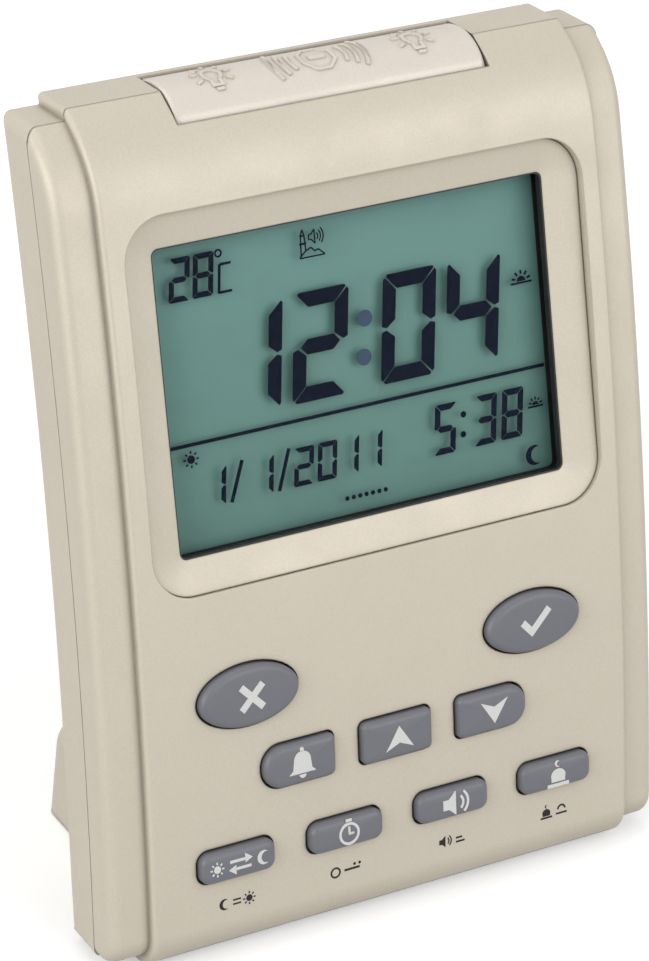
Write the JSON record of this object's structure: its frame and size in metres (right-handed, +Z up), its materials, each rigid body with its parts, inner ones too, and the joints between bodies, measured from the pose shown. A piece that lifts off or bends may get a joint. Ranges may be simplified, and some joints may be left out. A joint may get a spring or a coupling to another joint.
{
  "type": "prayer time alarm clock",
  "caption": "Slim bowed desk clock that leans back on a battery foot, with a wide liquid crystal display, rubber keys and a long stop bar on top.",
  "frame": {"origin": "On the table plane, midway across the clock, where the seam surface between front housing and rear cover meets the table.", "axes": "+X is the reader's left to right across the front, +Y runs from the front to the back, +Z is up."},
  "size_m": [0.1, 0.0535, 0.1262],
  "materials": {
    "case_plastic": "fine-grained champagne metallic plastic",
    "bar_plastic": "fine-grained champagne metallic plastic, slightly lighter",
    "key_rubber": "grey rubber with white printed signs",
    "mat_rubber": "grey rubber",
    "clear_window": "clear polished plastic",
    "lcd_glass": "grey-green liquid crystal glass",
    "guide_plastic": "clear light guide",
    "white_plastic": "white moulded plastic",
    "circuit_board": "green solder mask",
    "black_plastic": "black plastic",
    "plunger_plastic": "red switch plunger",
    "speaker_paper": "black paper cone",
    "ferrite": "bare ferrite",
    "cell_jacket": "plain printed jacket, no lettering",
    "spring_steel": "nickel-plated spring steel",
    "screw_steel": "zinc-plated steel",
    "wire_plastic": "flat cable with pale insulation"
  },
  "bodies": {
    "clock_case": {"front_housing": "case_plastic", "rear_cover": "case_plastic", "display_bezel": "case_plastic", "keypad_mat": "mat_rubber", "lcd_connector": "mat_rubber", "display_window": "clear_window", "lcd_glass": "lcd_glass", "lcd_light_guide": "guide_plastic", "lcd_holder": "white_plastic", "backlight_leds": "white_plastic", "main_board": "circuit_board", "key_board": "circuit_board", "stop_board": "circuit_board", "controller_chip": "black_plastic", "temperature_sensor": "black_plastic", "stop_switch": "black_plastic", "speaker_frame": "black_plastic", "speaker_cone": "speaker_paper", "speaker_magnet": "ferrite", "front_cell": "cell_jacket", "rear_cell": "cell_jacket", "positive_contact": "spring_steel", "negative_contact": "spring_steel", "bridge_contact": "spring_steel", "case_screws": "screw_steel", "key_board_screws": "screw_steel", "main_board_screws": "screw_steel", "stop_board_screws": "screw_steel", "board_link": "wire_plastic"},
    "exit_key": {"exit_key": "key_rubber"},
    "set_key": {"set_key": "key_rubber"},
    "alarm_key": {"alarm_key": "key_rubber"},
    "up_key": {"up_key": "key_rubber"},
    "down_key": {"down_key": "key_rubber"},
    "calendar_key": {"calendar_key": "key_rubber"},
    "iqamah_key": {"iqamah_key": "key_rubber"},
    "sound_key": {"sound_key": "key_rubber"},
    "azan_key": {"azan_key": "key_rubber"},
    "stop_bar": {"stop_bar": "bar_plastic", "switch_plunger": "plunger_plastic"},
    "battery_door": {"battery_door": "case_plastic"}
  },
  "joints": [
    {"name": "exit_press", "type": "slide", "parent": "clock_case", "child": "exit_key", "axis": [0, 0.9664, -0.2571], "range_m": [0, 0.0008], "stiffness_N_per_m": 1250},
    {"name": "set_press", "type": "slide", "parent": "clock_case", "child": "set_key", "axis": [0, 0.9664, -0.2571], "range_m": [0, 0.0008], "stiffness_N_per_m": 1250},
    {"name": "alarm_press", "type": "slide", "parent": "clock_case", "child": "alarm_key", "axis": [0, 0.9664, -0.2571], "range_m": [0, 0.0008], "stiffness_N_per_m": 1250},
    {"name": "up_press", "type": "slide", "parent": "clock_case", "child": "up_key", "axis": [0, 0.9664, -0.2571], "range_m": [0, 0.0008], "stiffness_N_per_m": 1250},
    {"name": "down_press", "type": "slide", "parent": "clock_case", "child": "down_key", "axis": [0, 0.9664, -0.2571], "range_m": [0, 0.0008], "stiffness_N_per_m": 1250},
    {"name": "calendar_press", "type": "slide", "parent": "clock_case", "child": "calendar_key", "axis": [0, 0.9664, -0.2571], "range_m": [0, 0.0008], "stiffness_N_per_m": 1250},
    {"name": "iqamah_press", "type": "slide", "parent": "clock_case", "child": "iqamah_key", "axis": [0, 0.9664, -0.2571], "range_m": [0, 0.0008], "stiffness_N_per_m": 1250},
    {"name": "sound_press", "type": "slide", "parent": "clock_case", "child": "sound_key", "axis": [0, 0.9664, -0.2571], "range_m": [0, 0.0008], "stiffness_N_per_m": 1250},
    {"name": "azan_press", "type": "slide", "parent": "clock_case", "child": "azan_key", "axis": [0, 0.9664, -0.2571], "range_m": [0, 0.0008], "stiffness_N_per_m": 1250},
    {"name": "stop_press", "type": "slide", "parent": "clock_case", "child": "stop_bar", "axis": [0, -0.3907, -0.9205], "range_m": [0, 0.0008], "stiffness_N_per_m": 1500},
    {"name": "door_slide", "type": "slide", "parent": "clock_case", "child": "battery_door", "axis": [0, 1, 0], "range_m": [0, 0.031]}
  ]
}
